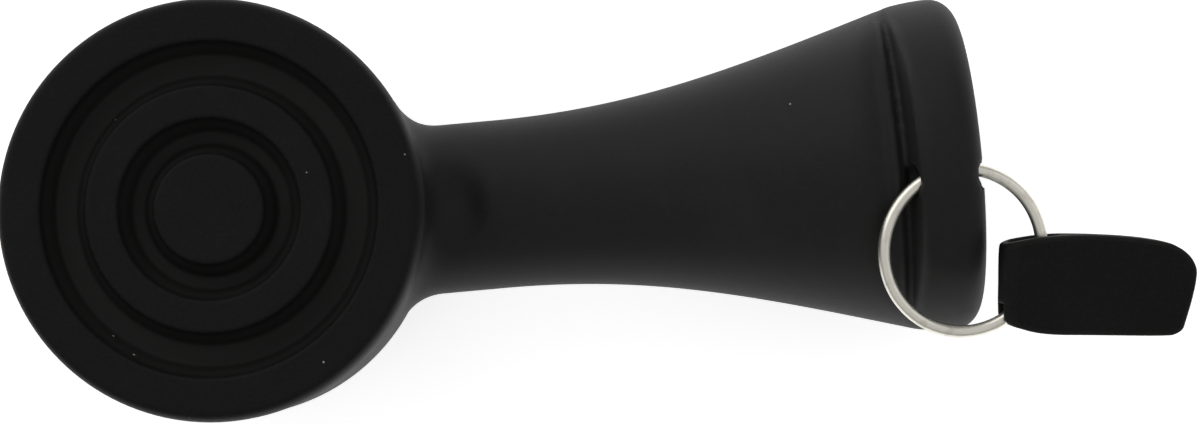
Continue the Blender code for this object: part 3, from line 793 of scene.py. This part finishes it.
def turnedSteel(name, tone, size):
    # zinc-plated turned steel with fine tool rings and a faint spangle
    def finish(shade, place):
        cells = {"Vector": place, "Scale": 1.0 / size}
        spangle = shade.add("ShaderNodeTexVoronoi", inputs=cells, output="Color")
        tile = shade.add("ShaderNodeSeparateColor", inputs={"Color": spangle}, output="Red")
        rings = grain(shade, place, 0.3 * mm, 2.0, 0.6)
        stain = grain(shade, place, 4.0 * mm, 3.0, 0.6)
        colour = (tile * 0.5 + stain.above(0.5, 0.3) * 0.3).mixColour(tone, tuple(0.72 * c for c in tone))
        rough = 0.34 + tile * 0.12 + stain * 0.1
        return {"Base Color": colour, "Metallic": 1.0, "Roughness": rough,
                "Normal": bump(shade, rings, 0.02 * mm, 0.4)}
    return newMaterial(name, finish)


def mouldedPlastic(name, tone):
    # stiff moulded plastic, flow marks and a light satin grain
    def finish(shade, place):
        flow = grain(shade, place, 9.0 * mm, 3.0, 0.6)
        skin = grain(shade, place, 0.4 * mm, 2.0, 0.5)
        colour = flow.above(0.35, 0.4).mixColour(tone, tuple(0.86 * c for c in tone))
        rough = 0.42 + flow * 0.12 + skin * 0.06
        return {"Base Color": colour, "Roughness": rough, "Normal": bump(shade, skin, 0.03 * mm, 0.4)}
    return newMaterial(name, finish)


def paleFloor():
    def finish(shade, place):
        haze = grain(shade, place, 60.0 * mm, 3.0, 0.5)
        fine = grain(shade, place, 1.2 * mm, 2.0, 0.5)
        colour = haze.mixColour((0.90, 0.90, 0.90), (0.93, 0.93, 0.93))
        return {"Base Color": colour, "Roughness": 0.7 + fine * 0.1, "Specular IOR Level": 0.2,
                "Emission Color": (1.0, 1.0, 1.0), "Emission Strength": 0.66}
    return newMaterial("paleFloor", finish)


# the pieces inside, made finely enough to stand for their plain versions
inside = {
    "plateSoft": 0.4 * mm, "screw": 2.4 * mm, "screwHead": 4.6 * mm, "post": 9.0 * mm, "clear": 0.3 * mm,
    "collar": 3.0 * mm, "footHeight": 4.0 * mm, "tubeWall": 2.2 * mm, "screwLand": 0.3 * mm,
}


def innerPieces(plastic, postPlastic, screwSteel, tubeSteel):
    n = inside
    low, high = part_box("backing_plate")
    bore = n["screw"] + n["clear"]
    seat = n["screwHead"] + n["clear"]
    seatEnd = high.z - n["screwLand"] - n["clear"]
    plate = turned("backingPlate", [
        (seat, high.z, 0.1 * mm), (high.x, high.z, n["plateSoft"]), (high.x, low.z, n["plateSoft"]),
        (bore, low.z, 0.2 * mm), (bore, seatEnd - (seat - bore), 0.1 * mm), (seat, seatEnd, 0.1 * mm)],
        plastic, closed=True)

    low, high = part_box("push_core")
    screwLow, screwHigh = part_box("core_screw")
    collar = n["post"] + n["collar"]
    footTop = low.z + n["footHeight"]
    post = turned("pushPost", [
        (0.0, screwLow.z - n["collar"], 0.0), (bore, screwLow.z - n["collar"], 0.2 * mm),
        (bore, high.z, 0.3 * mm), (collar, high.z, 0.5 * mm), (collar, high.z - n["collar"], 0.5 * mm),
        (n["post"], high.z - 2.0 * n["collar"], 1.0 * mm), (n["post"], footTop + n["collar"], 1.0 * mm),
        (high.x, footTop, 0.8 * mm), (high.x, low.z, 0.5 * mm), (0.0, low.z, 0.0)], postPlastic, facets=96)

    cone = n["screwHead"] - n["screw"]
    land = screwHigh.z - n["screwLand"]
    screw = turned("plateScrew", [
        (0.0, screwHigh.z, 0.0), (n["screwHead"], screwHigh.z, 0.15 * mm), (n["screwHead"], land, 0.1 * mm),
        (n["screw"], land - cone, 0.3 * mm), (n["screw"], screwLow.z + 0.8 * mm, 0.3 * mm),
        (n["screw"] - 0.8 * mm, screwLow.z, 0.2 * mm), (0.0, screwLow.z, 0.0)], screwSteel, facets=64)

    low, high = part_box("neck_core")
    outer = 0.5 * (high.z - low.z)
    inner = outer - n["tubeWall"]
    tube = turned("neckTube", [
        (inner, high.x, 0.4 * mm), (outer, high.x, 0.5 * mm), (outer, low.x, 0.5 * mm),
        (inner, low.x, 0.4 * mm)], tubeSteel, closed=True, facets=96, place=alongGrip)
    print("inner pieces made")
    return {"backing_plate": plate, "push_core": post, "core_screw": screw, "neck_core": tube}


# everything made, coloured and hung on its body
handleRubber, sealRubber, strapRubber = [mouldedRubber(name) for name in rubbers]
wireSteel = satinWire("satinWire")
platePlastic = mouldedPlastic("platePlastic", (0.35, 0.35, 0.34))
postPlastic = mouldedPlastic("postPlastic", (0.55, 0.54, 0.50))
screwSteel = turnedSteel("screwSteel", (0.60, 0.60, 0.58), 1.2 * mm)
tubeSteel = turnedSteel("tubeSteel", (0.45, 0.45, 0.44), 2.0 * mm)

pieces = {
    "handle_body": rubberHandle(handleRubber),
    "face_seal": faceSeal(sealRubber),
    "hanging_ring": hangingRing(wireSteel),
    "pull_tab": pullTab(strapRubber),
    **innerPieces(platePlastic, postPlastic, screwSteel, tubeSteel),
}
bodies = {"hanging_ring": "ring", "pull_tab": "tab"}
for node, obj in pieces.items():
    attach(obj, bodies.get(node, "plunger"))
    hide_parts(node)


# floor, light and camera
def floor():
    half = 2.5
    points = [(-half, -half, bodyLow.z), (half, -half, bodyLow.z), (half, half, bodyLow.z),
              (-half, half, bodyLow.z)]
    obj = newPiece("floor", points, [(0, 1, 2, 3)], paleFloor())


studio = {
    "aim": (0.06, 0.0, -0.03),
    # name: place, width, height, watts
    "boxes": {
        "backBox": ((-0.55, 0.95, 0.65), 1.8, 1.0, 7.0),
        "rightBox": ((1.20, 0.10, 0.60), 1.0, 0.9, 1.0),
    },
    "overhead": (0.60, 0.60, 0.60),
    "horizon": (0.14, 0.14, 0.14),
    "brightening": (0.10, 0.55),  # height at which the dark horizon ends, and over how much
}


def lights():
    for name, (place, width, height, watts) in studio["boxes"].items():
        light = bpy.data.lights.new(name, "AREA")
        light.shape = "RECTANGLE"
        light.size = width
        light.size_y = height
        light.energy = watts
        obj = bpy.data.objects.new(name, light)
        bpy.context.scene.collection.objects.link(obj)
        obj.location = place
        obj.rotation_euler = (Vector(studio["aim"]) - Vector(place)).to_track_quat("-Z", "Y").to_euler()
    world = bpy.data.worlds.new("studio")
    world.use_nodes = True
    bpy.context.scene.world = world
    tree = world.node_tree
    tree.nodes.clear()
    shade = Shade(tree)
    direction = shade.add("ShaderNodeTexCoord", output="Generated")
    height = shade.add("ShaderNodeSeparateXYZ", inputs={"Vector": direction}, output="Z")
    colour = height.above(*studio["brightening"]).mixColour(studio["horizon"], studio["overhead"])
    glow = shade.add("ShaderNodeBackground", inputs={"Color": colour, "Strength": 1.0})
    shade.add("ShaderNodeOutputWorld", inputs={"Surface": glow})


viewpoint = {
    "place": (0.0650, -0.0286, 0.5150),
    "roll": 5.15,                # degrees
    "tilt": 2.46,                # degrees away from straight down
    "lens": 90.0,
    "sensor": 36.0,
}


def camera():
    roll = math.radians(viewpoint["roll"])
    tilt = math.radians(viewpoint["tilt"])
    right = Vector((math.cos(roll), -math.sin(roll), 0.0))
    level = Vector((math.sin(roll), math.cos(roll), 0.0))
    down = Vector((0.0, 0.0, -1.0))
    forward = down * math.cos(tilt) + level * math.sin(tilt)
    up = right.cross(forward)
    data = bpy.data.cameras.new("camera")
    data.lens = viewpoint["lens"]
    data.sensor_width = viewpoint["sensor"]
    data.sensor_fit = "HORIZONTAL"
    data.clip_start = 0.01
    obj = bpy.data.objects.new("camera", data)
    bpy.context.scene.collection.objects.link(obj)
    facing = Matrix((right, up, -forward)).transposed().to_4x4()
    obj.matrix_world = Matrix.Translation(viewpoint["place"]) @ facing
    bpy.context.scene.camera = obj


floor()
lights()
camera()
bpy.context.scene.view_settings.view_transform = "Standard"
print("stage set")
